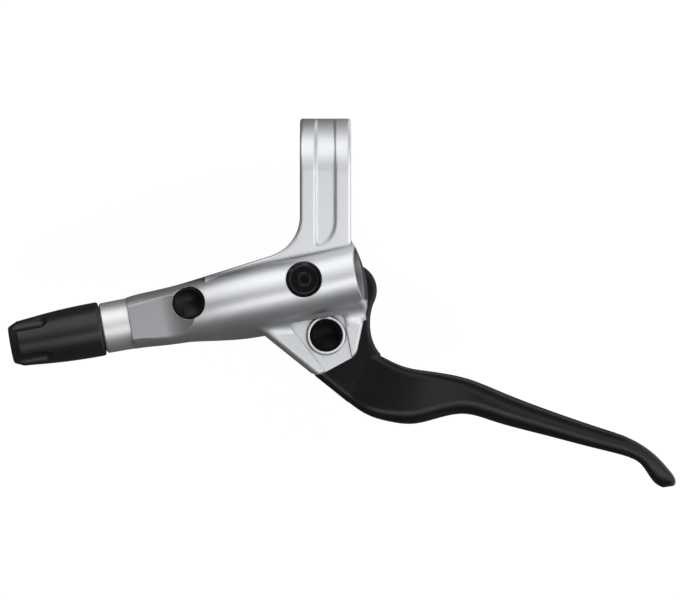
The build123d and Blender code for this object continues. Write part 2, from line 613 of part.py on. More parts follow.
plate = fillet(plate.faces().filter_by(Axis.Z).edges().filter_by(is_front), front_round)
rims = plate.faces().filter_by(Axis.Z).edges()
plate = fillet([edge for edge in rims if not is_front(edge)], plate_round)
lever = barrel.inverse() * Location(pivot.position) * (plate + finger)
bush_radius = 4.2
rod_swing = 2 * degrees(asin(abs(nut_y) / rod_length))
mortise = rod_radius + 0.35
turn_rest = radians(rod_tilt)
turn_pull = radians(rod_tilt - lever_travel + rod_swing)
reach = 16
rest_side = (-mortise * sin(turn_rest), mortise * cos(turn_rest))
pull_side = (mortise * sin(turn_pull), -mortise * cos(turn_pull))
fan = face_of(Polyline(
    rest_side, (rest_side[0] + reach * cos(turn_rest), rest_side[1] + reach * sin(turn_rest)),
    (pull_side[0] + reach * cos(turn_pull), pull_side[1] + reach * sin(turn_pull)), pull_side,
    close=True).edges())
lever -= rod_z(hub.X, hub.Y, bush_radius + press, -20, 20)
lever -= rod_z(nut_x, nut_y, nut_radius + running, -20, 20)
lever -= Pos(nut_x, nut_y, -mortise) * extrude(fan, 2 * mortise)
lever -= Location((nut_x, nut_y, 0), (0, 0, rod_tilt)) * rod_x(1.6, -20, 0)
save("lever_blade", barrel * lever)

bush = rod_z(0, 0, bush_radius, 0.2, lever_half) + rod_z(0, 0, 6.2, lever_half, lever_half + flange)
bush -= rod_z(0, 0, pin_radius + running, -1, 9)
save("upper_pivot_bush", pivot * bush)
save("lower_pivot_bush", pivot * Rot(180, 0, 0) * bush)
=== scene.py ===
import json
import math

import bpy
from bpy.props import FloatProperty, FloatVectorProperty, PointerProperty, StringProperty
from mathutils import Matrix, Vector


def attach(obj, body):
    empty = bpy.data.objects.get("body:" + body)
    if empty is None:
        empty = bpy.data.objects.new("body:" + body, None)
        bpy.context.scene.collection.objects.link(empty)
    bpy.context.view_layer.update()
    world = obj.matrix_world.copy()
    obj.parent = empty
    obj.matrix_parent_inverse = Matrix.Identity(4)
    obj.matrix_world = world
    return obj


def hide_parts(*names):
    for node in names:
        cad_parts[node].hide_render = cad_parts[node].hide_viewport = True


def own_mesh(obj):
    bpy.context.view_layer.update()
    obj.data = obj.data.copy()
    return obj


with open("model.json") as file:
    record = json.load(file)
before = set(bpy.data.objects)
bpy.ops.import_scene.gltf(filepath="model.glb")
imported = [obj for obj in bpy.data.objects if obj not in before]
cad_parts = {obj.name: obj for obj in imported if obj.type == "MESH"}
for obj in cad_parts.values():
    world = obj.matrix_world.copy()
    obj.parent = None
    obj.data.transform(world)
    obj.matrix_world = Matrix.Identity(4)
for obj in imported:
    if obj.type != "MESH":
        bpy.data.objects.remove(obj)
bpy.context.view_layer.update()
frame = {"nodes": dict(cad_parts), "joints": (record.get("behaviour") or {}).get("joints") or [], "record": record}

bl_info = {
    "name": "Bicycle Brake Lever Finishes",
    "version": (1, 0, 0),
    "blender": (4, 5, 0),
    "location": "View3D > Sidebar > Brake Lever",
    "description": "Gives a hydraulic brake lever its paints, metals, rubbers and studio",
    "category": "Object",
}

NODES = frame["nodes"]
JOINTS = {joint["name"]: joint for joint in frame["joints"]}
MM = 0.001

# The piston slides towards the hose, so the bore's direction is the other way
SLIDE_DIRECTION = Vector(JOINTS["piston_slide"]["axis"]).normalized()
BORE_DIRECTION = -SLIDE_DIRECTION
UP = Vector((0, 0, 1))
BORE_SIDE = SLIDE_DIRECTION.cross(UP)
BORE_ANGLE = math.atan2(BORE_DIRECTION.y, BORE_DIRECTION.x)
HOSE_PORT = next(mount for mount in frame["record"]["mounts"] if mount["name"] == "hose_port")
PORT_PLACE = Vector(HOSE_PORT["pos_m"])
PIVOT = Vector(JOINTS["lever_pivot"]["pos_m"])

# Zones of the casting's finish and of its painted shade, measured along the bore from the hose port, across the
# bore, and up.
# A band is its middle and half its width, and a fade is its start and its end.
MOUTH_START = 72.9 * MM
MOUTH_ACROSS_BAND = (2.05 * MM, 7.65 * MM)
MOUTH_UP_BAND = (9.0 * MM, 3.6 * MM)
VALLEY_LINE = 9.3 * MM
VALLEY_FADE = (0.8 * MM, 2.8 * MM)
FIN_ACROSS_FADE = (8.0 * MM, 9.2 * MM)
FIN_ALONG_FADE = (36 * MM, 56 * MM)
CORNER_ACROSS_BAND = (-8.8 * MM, 3.5 * MM)
PIVOT_FLAT_BAND = (66.3 * MM, 8.8 * MM)
# The clamp starts at this Y of the frame, and the boss's rim is a ring round the pivot
CLAMP_START = -23 * MM
BOSS_RIM_BAND = (5.1 * MM, 0.8 * MM)

# Painted shade: how open a place is where a recess is darkest, and where the paint is clear: elsewhere, and in the
# valley
DARKEST_AT = (0.1, 0.62)
CLEAR_AT = (0.65, 1.0)
FIN_START_SHADE = 0.9

# Patterns of the finishes: tones from dark to light, roughness, strength of the bumps and their height
FLAKE_TONES = (0.93, 1.07)
LINE_TONES = (0.98, 1.0)
GRAIN_TONES = (0.85, 1.15)
PAINT_ROUGHNESS = (0.4, 0.46)
TURNED_ROUGHNESS = 0.5
GRAIN_ROUGHNESS = 0.05
FLAKE_BUMP = 0.12
LINE_BUMP = 0.05
PAINT_RELIEF = 0.02 * MM
GRAIN_RELIEF = 0.05 * MM
# A wave texture of scale 1 has its lines this far apart, in metres
WAVE_PITCH = math.pi / 10

# The stage, in metres, and the share of plain white in what the camera and the reflections see of the floor
FLOOR_REACH = 3.0
CARD_LIFT = 2 * MM
PAPER_FIBRES = 2 * MM
FLOOR_GLOW = 0.7

# Sockets of the Mix node, which repeats its names for numbers and for colours
FACTOR, NUMBER_A, NUMBER_B, COLOUR_A, COLOUR_B = 0, 2, 3, 6, 7
COLOUR_OUT = 2


class LeverColours(bpy.types.PropertyGroup):
    """Colours of the lever's finishes, as sRGB hex values"""

    silver_paint: StringProperty(
        name="Silver paint", description="Paint on the cast body", default="D6D8DB")
    # The mouth's darker grey stands for unpainted casting and for painted shade inside the mouth
    raw_casting_and_shade: StringProperty(
        name="Raw casting", description="Unpainted inside of the reservoir's mouth", default="77787B")
    # Painted shade: this darker silver is mixed into recesses, inside corners, the valley and the fin's start,
    # where shade falls
    painted_recess_shade: StringProperty(
        name="Recess", description="Silver paint deep in recesses and corners", default="4A4B4E")
    turned_metal: StringProperty(
        name="Turned metal", description="Bare turned end of the cylinder", default="E4E4E6")
    black_paint: StringProperty(
        name="Black paint", description="Paint on the finger lever", default="0D0D0E")
    cover_rubber: StringProperty(
        name="Cover rubber", description="Moulded cover over the hose connection", default="101011")
    black_plastic: StringProperty(
        name="Black plastic", description="Caps and plug", default="050506")
    black_plating: StringProperty(
        name="Black plating", description="Screws and bolts", default="0C0C0D")
    bright_steel: StringProperty(
        name="Bright steel", description="Pins, rod and clips", default="B9BABD")
    brass: StringProperty(
        name="Brass", description="Nut, gland and olive", default="C2A15A")
    acetal: StringProperty(
        name="Acetal", description="Pivot bushes", default="E6E4DC")
    seal_rubber: StringProperty(
        name="Seal rubber", description="Seals and diaphragm", default="161616")


class LeverSizes(bpy.types.PropertyGroup):
    """Sizes of the finishes' patterns and edges, and of the return spring"""

    paint_grain: FloatProperty(
        name="Paint grain", description="Size of the silver paint's flakes, drawn coarse enough to show",
        default=0.35 * MM, min=0.01 * MM, unit="LENGTH")
    paint_clouds: FloatProperty(
        name="Paint clouds", description="Size of the soft unevenness in the silver paint's sheen",
        default=9 * MM, min=0.1 * MM, unit="LENGTH")
    turned_reach: FloatProperty(
        name="Turned reach", description="How far the bare turned end reaches from the hose port's place",
        default=13.5 * MM, unit="LENGTH")
    cast_edge: FloatProperty(
        name="Cast edge", description="Rounding of the painted casting's edges",
        default=0.35 * MM, min=0.01 * MM, unit="LENGTH")
    clamp_edge: FloatProperty(
        name="Clamp edge", description="Rounding of the edges of the clamp, its channel and the pivot boss",
        default=0.9 * MM, min=0.01 * MM, unit="LENGTH")
    cast_corner: FloatProperty(
        name="Cast corner", description="Rounding of the casting's inside corners beside the pivot flat",
        default=2.5 * MM, min=0.01 * MM, unit="LENGTH")
    # Reach of the painted shade that walls put on the paint beside them
    recess_reach: FloatProperty(
        name="Recess reach", description="How far a wall darkens the paint beside it",
        default=5 * MM, min=0.1 * MM, unit="LENGTH")
    lever_edge: FloatProperty(
        name="Lever edge", description="Rounding of the finger lever's edges",
        default=1.5 * MM, min=0.01 * MM, unit="LENGTH")
    moulded_edge: FloatProperty(
        name="Moulded edge", description="Rounding of moulded and turned edges",
        default=0.15 * MM, min=0.01 * MM, unit="LENGTH")
    tool_pitch: FloatProperty(
        name="Tool pitch", description="Spacing of the turning lines, drawn coarse enough to show",
        default=1.2 * MM, min=0.01 * MM, unit="LENGTH")
    orange_peel: FloatProperty(
        name="Orange peel", description="Width of the waves in the black paint",
        default=0.8 * MM, min=0.01 * MM, unit="LENGTH")
    spring_wire: FloatProperty(
        name="Spring wire", description="Radius of the return spring's wire",
        default=0.4 * MM, min=0.05 * MM, unit="LENGTH")
    spring_radius: FloatProperty(
        name="Spring radius", description="Radius of the return spring at the middle of its wire",
        default=3.6 * MM, min=0.5 * MM, unit="LENGTH")
    fine_grain: FloatProperty(
        name="Fine grain", description="Grain of moulded and turned pieces, drawn coarse enough to show",
        default=0.3 * MM, min=0.01 * MM, unit="LENGTH")


class StageSettings(bpy.types.PropertyGroup):
    """Camera, light and floor of the studio"""

    lens: FloatProperty(
        name="Lens", description="Focal length of the camera in millimetres",
        default=300.0, min=20.0, unit="CAMERA")
    view_width: FloatProperty(
        name="View width", description="Width of the picture at the lever",
        default=197.1 * MM, unit="LENGTH")
    view_centre: FloatVectorProperty(
        name="View centre", description="Point at the middle of the picture",
        default=(4.2 * MM, -38.26 * MM, 5 * MM), subtype="XYZ", unit="LENGTH")
    floor_drop: FloatProperty(
        name="Floor drop", description="Height of the clamp's middle above the floor",
        default=70 * MM, unit="LENGTH")
    rear_power: FloatProperty(
        name="Rear power", description="Power of the wide light behind the lever", default=0.6, unit="POWER")
    strip_power: FloatProperty(
        name="Strip power", description="Power of the strip light overhead", default=0.38, unit="POWER")
    right_power: FloatProperty(
        name="Right power", description="Power of the light on the right", default=0.5, unit="POWER")
    world_level: FloatProperty(
        name="World level", description="Strength of the even white light all round", default=1.0, min=0.0)
    floor_colour: StringProperty(
        name="Floor colour", description="White paper below the lever", default="FAFAFA")
    card_colour: StringProperty(
        name="Card colour", description="Cards that the metal's flanks reflect", default="5A5A5A")
    floor_card_colour: StringProperty(
        name="Floor card colour", description="Card below the lever that its steep walls reflect",
        default="505050")
    top_card_colour: StringProperty(
        name="Top card colour", description="Card overhead that the black flats reflect", default="3C3C3C")


def linear(hex_colour):
    """sRGB hex value as a linear colour with alpha"""
    channels = [int(hex_colour[i:i + 2], 16) / 255 for i in (0, 2, 4)]
    return [c / 12.92 if c <= 0.04045 else ((c + 0.055) / 1.055) ** 2.4 for c in channels] + [1.0]


def add(tree, kind, inputs=None, **settings):
    """Adds a node with its settings; each input, by name or number, is a value or another node's output"""
    node = tree.nodes.new(kind)
    for name, value in settings.items():
        setattr(node, name, value)
    for name, value in (inputs or {}).items():
        if isinstance(value, bpy.types.NodeSocket):
            tree.links.new(value, node.inputs[name])
        else:
            node.inputs[name].default_value = value
    return node


def new_material(name):
    """Empty node material, with its tree and its own coordinates in metres in the lever's frame"""
    material = bpy.data.materials.new(name)
    material.use_nodes = True
    tree = material.node_tree
    tree.nodes.clear()
    return material, tree, add(tree, "ShaderNodeTexCoord").outputs["Object"]


def surface(tree, inputs):
    """The material's shader and output"""
    shader = add(tree, "ShaderNodeBsdfPrincipled", inputs)
    add(tree, "ShaderNodeOutputMaterial", {"Surface": shader.outputs["BSDF"]})


def tone(colour, factor):
    """Lighter or darker linear colour"""
    return [min(c * factor, 1.0) for c in colour[:3]] + [1.0]


def dress(names, material):
    """Puts one material on CAD nodes"""
    for name in names:
        node = NODES[name]
        node.data.materials.clear()
        node.data.materials.append(material)


def mouth_mask(tree, axes):
    """Mask of the reservoir's mouth"""
    mask = add(tree, "ShaderNodeMath", {0: axes["X"], 1: MOUTH_START}, operation="GREATER_THAN").outputs[0]
    for axis, (middle, half_width) in (("Y", MOUTH_ACROSS_BAND), ("Z", MOUTH_UP_BAND)):
        band = add(tree, "ShaderNodeMath", {0: axes[axis], 1: middle, 2: half_width}, operation="COMPARE")
        mask = add(tree, "ShaderNodeMath", {0: mask, 1: band.outputs[0]}, operation="MULTIPLY").outputs[0]
    return mask


def recess_shade(tree, axes, sizes):
    """Painted shade: 1 on open paint, down to 0 deep in recesses and where the fin starts"""
    openness = add(tree, "ShaderNodeAmbientOcclusion", {"Distance": sizes.recess_reach}, samples=8)
    # Painted shade: the long valley between the barrel and the fin that runs up to the arm is the darkest
    away = add(tree, "ShaderNodeMath", {0: axes["Y"], 1: VALLEY_LINE}, operation="SUBTRACT").outputs[0]
    away = add(tree, "ShaderNodeMath", {0: away}, operation="ABSOLUTE").outputs[0]
    valley = add(
        tree, "ShaderNodeMapRange",
        {"Value": away, "From Min": VALLEY_FADE[0], "From Max": VALLEY_FADE[1],
         "To Min": 1.0, "To Max": 0.0},
        interpolation_type="SMOOTHSTEP").outputs[0]
    darkest, clear = (
        add(tree, "ShaderNodeMapRange", {"Value": valley, "To Min": elsewhere, "To Max": inside}).outputs[0]
        for elsewhere, inside in (DARKEST_AT, CLEAR_AT))
    shade = add(tree, "ShaderNodeMapRange", {
        "Value": openness.outputs["AO"], "From Min": darkest, "From Max": clear}).outputs[0]
    # Painted shade: the fin is darkened where it starts, so that it runs into the barrel's dark flank
    fin = add(
        tree, "ShaderNodeMapRange",
        {"Value": axes["Y"], "From Min": FIN_ACROSS_FADE[0], "From Max": FIN_ACROSS_FADE[1]},
        interpolation_type="SMOOTHSTEP").outputs[0]
    near_start = add(
        tree, "ShaderNodeMapRange",
        {"Value": axes["X"], "From Min": FIN_ALONG_FADE[0], "From Max": FIN_ALONG_FADE[1],
         "To Min": FIN_START_SHADE, "To Max": 0.0},
        interpolation_type="SMOOTHSTEP").outputs[0]
    painted_fin_shade = add(tree, "ShaderNodeMath", {0: fin, 1: near_start}, operation="MULTIPLY").outputs[0]
    return add(tree, "ShaderNodeMix", {FACTOR: painted_fin_shade, NUMBER_A: shade, NUMBER_B: 0.0}).outputs[0]


def cast_edges(tree, place, axes, sizes):
    """Normal that rounds the casting's edges, with a radius of its own for each zone"""
    frame_y = add(tree, "ShaderNodeSeparateXYZ", {"Vector": place}).outputs["Y"]
    clamp = add(tree, "ShaderNodeMath", {0: frame_y, 1: CLAMP_START}, operation="GREATER_THAN").outputs[0]
    spoke = add(tree, "ShaderNodeVectorMath", {0: place, 1: PIVOT}, operation="SUBTRACT").outputs[0]
    spoke = add(tree, "ShaderNodeVectorMath", {0: spoke, 1: (1, 1, 0)}, operation="MULTIPLY").outputs[0]
    from_pivot = add(tree, "ShaderNodeVectorMath", {0: spoke}, operation="LENGTH").outputs["Value"]
    front, flat, rim = (
        add(tree, "ShaderNodeMath", {0: value, 1: middle, 2: half_width}, operation="COMPARE").outputs[0]
        for value, (middle, half_width) in (
            (axes["Y"], CORNER_ACROSS_BAND), (axes["X"], PIVOT_FLAT_BAND), (from_pivot, BOSS_RIM_BAND)))
    # The inside corners lie on both sides of the pivot flat
    corners = add(
        tree, "ShaderNodeMath", {0: front, 1: flat}, operation="SUBTRACT", use_clamp=True).outputs[0]
    radius = sizes.cast_edge
    for zone, rounding in ((clamp, sizes.clamp_edge), (corners, sizes.cast_corner), (rim, sizes.clamp_edge)):
        radius = add(
            tree, "ShaderNodeMix", {FACTOR: zone, NUMBER_A: radius, NUMBER_B: rounding}).outputs[0]
    return add(tree, "ShaderNodeBevel", {"Radius": radius}, samples=8).outputs["Normal"]


def silver_paint(colours, sizes):
    """Body finish, with its turned end left bare, the reservoir's mouth as cast and darkened, and painted shade in
    its recesses
    """
    # Satin silver paint: flakes give a broad soft sheen that darkens on steep flanks, and edges stay round.
    # Recesses, inside corners and the valley get painted shade, so they are darker, and the mouth is a darker
    # grey, partly unpainted casting and partly painted shade.
    # The turned end is bright, with fine lines round it.
    material, tree, place = new_material("Silver flake paint, sprayed on die-cast aluminium")
    bore = add(
        tree, "ShaderNodeMapping", {"Vector": place, "Location": PORT_PLACE, "Rotation": (0, 0, BORE_ANGLE)},
        vector_type="TEXTURE").outputs["Vector"]
    axes = add(tree, "ShaderNodeSeparateXYZ", {"Vector": bore}).outputs
    bare = add(
        tree, "ShaderNodeMath", {0: axes["X"], 1: sizes.turned_reach}, operation="LESS_THAN").outputs[0]
    # The flakes and the turning lines are drawn coarser than they are, so that they show
    flakes = add(tree, "ShaderNodeTexNoise", {
        "Vector": place, "Scale": 1 / sizes.paint_grain, "Detail": 2.0, "Roughness": 0.6}).outputs["Fac"]
    clouds = add(tree, "ShaderNodeTexNoise", {
        "Vector": place, "Scale": 1 / sizes.paint_clouds, "Detail": 2.0}).outputs["Fac"]
    lines = add(
        tree, "ShaderNodeTexWave", {"Vector": bore, "Scale": WAVE_PITCH / sizes.tool_pitch},
        wave_type="BANDS", bands_direction="X").outputs["Fac"]
    paint = linear(colours.silver_paint)
    turned = linear(colours.turned_metal)
    flake_colour, line_colour = (
        add(tree, "ShaderNodeMix",
            {FACTOR: pattern, COLOUR_A: tone(base, dark), COLOUR_B: tone(base, light)},
            data_type="RGBA").outputs[COLOUR_OUT]
        for pattern, base, (dark, light) in ((flakes, paint, FLAKE_TONES), (lines, turned, LINE_TONES)))
    colour = flake_colour
    # The mouth's grey is unpainted casting and painted shade as well
    for zone, over in ((bare, line_colour), (mouth_mask(tree, axes), linear(colours.raw_casting_and_shade))):
        colour = add(
            tree, "ShaderNodeMix", {FACTOR: zone, COLOUR_A: colour, COLOUR_B: over},
            data_type="RGBA").outputs[COLOUR_OUT]
    # Painted shade: the darker silver is mixed in where the shade share falls
    shade = recess_shade(tree, axes, sizes)
    colour = add(
        tree, "ShaderNodeMix", {FACTOR: shade, COLOUR_A: linear(colours.painted_recess_shade), COLOUR_B: colour},
        data_type="RGBA").outputs[COLOUR_OUT]
    satin = add(tree, "ShaderNodeMapRange", {
        "Value": clouds, "To Min": PAINT_ROUGHNESS[0], "To Max": PAINT_ROUGHNESS[1]}).outputs[0]
    gloss = add(
        tree, "ShaderNodeMix", {FACTOR: bare, NUMBER_A: satin, NUMBER_B: TURNED_ROUGHNESS}).outputs[0]
    cuts = add(tree, "ShaderNodeMath", {0: lines, 1: bare}, operation="MULTIPLY").outputs[0]
    relief = cast_edges(tree, place, axes, sizes)
    for height, strength in ((flakes, FLAKE_BUMP), (cuts, LINE_BUMP)):
        relief = add(tree, "ShaderNodeBump", {
            "Strength": strength, "Distance": PAINT_RELIEF, "Height": height,
            "Normal": relief}).outputs["Normal"]
    surface(tree, {"Base Color": colour, "Roughness": gloss, "Normal": relief, "Metallic": 1.0})
    return material


def coated(name, colour, grain_size, edge_radius, roughness, bump, specular=0.5, metallic=0.0):
    """Coated, moulded or turned surface: a fine grain in its colour, gloss and relief, and round edges"""
    material, tree, place = new_material(name)
    grain = add(tree, "ShaderNodeTexNoise", {
        "Vector": place, "Scale": 1 / grain_size, "Detail": 3.0, "Roughness": 0.55}).outputs["Fac"]
    dark, light = (tone(linear(colour), factor) for factor in GRAIN_TONES)
    tint = add(
        tree, "ShaderNodeMix", {FACTOR: grain, COLOUR_A: dark, COLOUR_B: light}, data_type="RGBA")
    gloss = add(tree, "ShaderNodeMapRange", {
        "Value": grain, "To Min": roughness - GRAIN_ROUGHNESS,
        "To Max": roughness + GRAIN_ROUGHNESS}).outputs[0]
    edge = add(tree, "ShaderNodeBevel", {"Radius": edge_radius}, samples=6).outputs["Normal"]
    relief = add(tree, "ShaderNodeBump", {
        "Strength": bump, "Distance": GRAIN_RELIEF, "Height": grain, "Normal": edge}).outputs["Normal"]
    surface(tree, {
        "Base Color": tint.outputs[COLOUR_OUT], "Roughness": gloss, "Normal": relief,
        "Specular IOR Level": specular, "Metallic": metallic})
    return material


class BRAKELEVER_OT_cast_body(bpy.types.Operator):
    """Paint the cast body silver and leave its turned end bright"""

    bl_idname = "brakelever.cast_body"
    bl_label = "Cast Body"

    def execute(self, context):
        scene = context.scene
        dress(["lever_body"], silver_paint(scene.lever_colours, scene.lever_sizes))
        return {"FINISHED"}


class BRAKELEVER_OT_finger_lever(bpy.types.Operator):
    """Paint the finger lever satin black"""

    bl_idname = "brakelever.finger_lever"
    bl_label = "Finger Lever"

    def execute(self, context):
        scene = context.scene
        sizes = scene.lever_sizes
        # Satin paint: deep black flats, soft streaks along the round edges, and a faint orange peel close to
        dress(["lever_blade"], coated(
            "Satin black paint, sprayed on forged aluminium", scene.lever_colours.black_paint,
            sizes.orange_peel, sizes.lever_edge, roughness=0.24, bump=0.02, specular=0.28))
        return {"FINISHED"}


class BRAKELEVER_OT_hose_cover(bpy.types.Operator):
    """Give the hose cover its matt rubber"""

    bl_idname = "brakelever.hose_cover"
    bl_label = "Hose Cover"

    def execute(self, context):
        scene = context.scene
        sizes = scene.lever_sizes
        # Moulded rubber: near black, with a soft sheen on its shoulders and a grain drawn coarse to show
        dress(["hose_cover"], coated(
            "Black rubber, moulded matt", scene.lever_colours.cover_rubber,
            sizes.fine_grain, sizes.moulded_edge, roughness=0.37, bump=0.12, specular=0.45))
        return {"FINISHED"}


class BRAKELEVER_OT_caps(bpy.types.Operator):
    """Give the pivot cap, port plug and reservoir retainer their black plastic"""

    bl_idname = "brakelever.caps"
    bl_label = "Caps and Plug"

    def execute(self, context):
        scene = context.scene
        sizes = scene.lever_sizes
        # Moulded acetal: a dull black that hardly shines.
        # The plug's smoother mould leaves a soft spot of light on it.
        for names, finish, roughness, specular in (
                (["pivot_cap", "diaphragm_retainer"], "Black acetal, moulded matt", 0.3, 0.06),
                (["port_plug"], "Black acetal, moulded half gloss", 0.34, 0.18)):
            dress(names, coated(
                finish, scene.lever_colours.black_plastic,
                sizes.fine_grain, sizes.moulded_edge, roughness, bump=0.03, specular=specular))
        return {"FINISHED"}


class BRAKELEVER_OT_screws(bpy.types.Operator):
    """Give the bleed screw and clamp bolt their black plating"""

    bl_idname = "brakelever.screws"
    bl_label = "Screws"

    def execute(self, context):
        scene = context.scene
        sizes = scene.lever_sizes
        # Black zinc: glossier than the plastic, so the sockets' edges, twice as round, catch the light
        dress(["bleed_screw", "clamp_bolt"], coated(
            "Black zinc plating on turned steel", scene.lever_colours.black_plating,
            sizes.fine_grain, 2 * sizes.moulded_edge, roughness=0.16, bump=0.03, specular=0.45))
        return {"FINISHED"}


class BRAKELEVER_OT_steel_parts(bpy.types.Operator):
    """Give the pin, push rod, piston, clip and washer their bright steel"""

    bl_idname = "brakelever.steel_parts"
    bl_label = "Steel Parts"

    def execute(self, context):
        scene = context.scene
        sizes = scene.lever_sizes
        # Bright steel: clear, cool highlights over a fine grain
        dress(["pivot_pin", "push_rod", "circlip", "stop_washer", "piston"], coated(
            "Bright steel, turned and drawn", scene.lever_colours.bright_steel,
            sizes.fine_grain, sizes.moulded_edge, roughness=0.28, bump=0.03, metallic=1.0))
        return {"FINISHED"}


class BRAKELEVER_OT_return_spring(bpy.types.Operator):
    """Wind the return spring, which the piston squeezes as the lever is pulled"""

    bl_idname = "brakelever.return_spring"
    bl_label = "Return Spring"

    def execute(self, context):
        scene = context.scene
        sizes = scene.lever_sizes
        start, end = self.reach(SLIDE_DIRECTION)
        # The coil winds round the axis of the CAD spring, from its foot
        foot = SLIDE_DIRECTION * start
        for direction in (BORE_SIDE, UP):
            foot += direction * sum(self.reach(direction)) / 2
        coil = bpy.data.curves.new("Return_spring_coil", "CURVE")
        coil.dimensions = "3D"
        coil.bevel_depth = sizes.spring_wire
        coil.bevel_resolution = 3
        coil.use_fill_caps = True
        path = self.path(foot, end - start, sizes)
        spline = coil.splines.new("POLY")
        spline.points.add(len(path) - 1)
        for point, place in zip(spline.points, path):
            point.co = (*place, 1.0)
        winding = bpy.data.objects.new("Return_spring_coil", coil)
        mesh = bpy.data.meshes.new_from_object(winding)
        bpy.data.objects.remove(winding)
        mesh.shade_smooth()
        # Spring wire: bright, cool highlights along each coil
        mesh.materials.clear()
        mesh.materials.append(coated(
            "Spring steel, drawn wire", scene.lever_colours.bright_steel,
            sizes.fine_grain, sizes.moulded_edge, roughness=0.25, bump=0.03, metallic=1.0))
        spring = bpy.data.objects.new("Return_spring_coil", mesh)
        scene.collection.objects.link(spring)
        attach(spring, "bracket")
        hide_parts("return_spring")
        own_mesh(spring)
        return {"FINISHED"}

    def reach(self, direction):
        """Where the CAD spring starts and ends along a direction"""
        along = [vertex.co.dot(direction) for vertex in NODES["return_spring"].data.vertices]
        return min(along), max(along)

    def path(self, foot, length, sizes):
        """Points along the wire's middle: an open coil with a closed turn at each end"""
        steps = 36
        open_turns = 4.5
        # A closed turn rises by just over the wire's thickness
        closed = 2.05 * sizes.spring_wire
        climb = length - 2 * sizes.spring_wire - 2 * closed
        points = []
        for step in range(round((open_turns + 2) * steps) + 1):
            turn = step / steps
            rise = sizes.spring_wire + min(turn, 1) * closed + max(turn - 1 - open_turns, 0) * closed
            rise += min(max((turn - 1) / open_turns, 0), 1) * climb
            angle = 2 * math.pi * turn
            out = BORE_SIDE * math.cos(angle) + UP * math.sin(angle)
            points.append(foot + SLIDE_DIRECTION * rise + out * sizes.spring_radius)
        return points


class BRAKELEVER_OT_brass_parts(bpy.types.Operator):
    """Give the barrel nut, gland and olive their brass"""

    bl_idname = "brakelever.brass_parts"
    bl_label = "Brass Parts"

    def execute(self, context):
        scene = context.scene
        sizes = scene.lever_sizes
        # Turned brass: warm yellow highlights
        dress(["barrel_nut", "connecting_bolt", "olive"], coated(
            "Brass, turned", scene.lever_colours.brass,
            sizes.fine_grain, sizes.moulded_edge, roughness=0.3, bump=0.03, metallic=1.0))
        return {"FINISHED"}


class BRAKELEVER_OT_bushes(bpy.types.Operator):
    """Give the pivot bushes their white acetal"""

    bl_idname = "brakelever.bushes"
    bl_label = "Pivot Bushes"

    def execute(self, context):
        scene = context.scene
        sizes = scene.lever_sizes
        # Acetal: a waxy off-white
        dress(["upper_pivot_bush", "lower_pivot_bush"], coated(
            "White acetal, moulded", scene.lever_colours.acetal,
            sizes.fine_grain, sizes.moulded_edge, roughness=0.4, bump=0.03))
        return {"FINISHED"}


class BRAKELEVER_OT_seals(bpy.types.Operator):
    """Give the seals and the diaphragm their rubber"""

    bl_idname = "brakelever.seals"
    bl_label = "Seals"

    def execute(self, context):
        scene = context.scene
        sizes = scene.lever_sizes
        # Nitrile rubber: dull black with no clear highlight
        dress(["bleed_o_ring", "reservoir_diaphragm", "primary_seal", "secondary_seal"], coated(
            "Nitrile rubber, moulded", scene.lever_colours.seal_rubber,
            sizes.fine_grain, sizes.moulded_edge, roughness=0.55, bump=0.05))
        return {"FINISHED"}


def softbox(name, place, size, power, target):
    """Rectangular area light turned to the target"""
    lamp = bpy.data.lights.new(name, "AREA")
    lamp.shape = "RECTANGLE"
    lamp.size, lamp.size_y = size
    lamp.energy = power
    box = bpy.data.objects.new(name, lamp)
    box.location = place
    box.rotation_euler = (target - place).to_track_quat("-Z", "Y").to_euler()
    bpy.context.scene.collection.objects.link(box)


def sheet(name, corners, material):
    """Flat piece of the stage"""
    mesh = bpy.data.meshes.new(name)
    mesh.from_pydata(corners, [], [range(len(corners))])
    mesh.materials.append(material)
    piece = bpy.data.objects.new(name, mesh)
    bpy.context.scene.collection.objects.link(piece)
    return piece


def paper(name, hex_colour, fibre_tone):
    """Matt paper or card with faint fibres: its material, its tree and its shader"""
    material, tree, place = new_material(name)
    fibres = add(tree, "ShaderNodeTexNoise", {"Vector": place, "Scale": 1 / PAPER_FIBRES}).outputs["Fac"]
    plain = linear(hex_colour)
    tint = add(
        tree, "ShaderNodeMix", {FACTOR: fibres, COLOUR_A: tone(plain, fibre_tone), COLOUR_B: plain},
        data_type="RGBA").outputs[COLOUR_OUT]
    return material, tree, add(tree, "ShaderNodeBsdfDiffuse", {"Color": tint}).outputs[0]


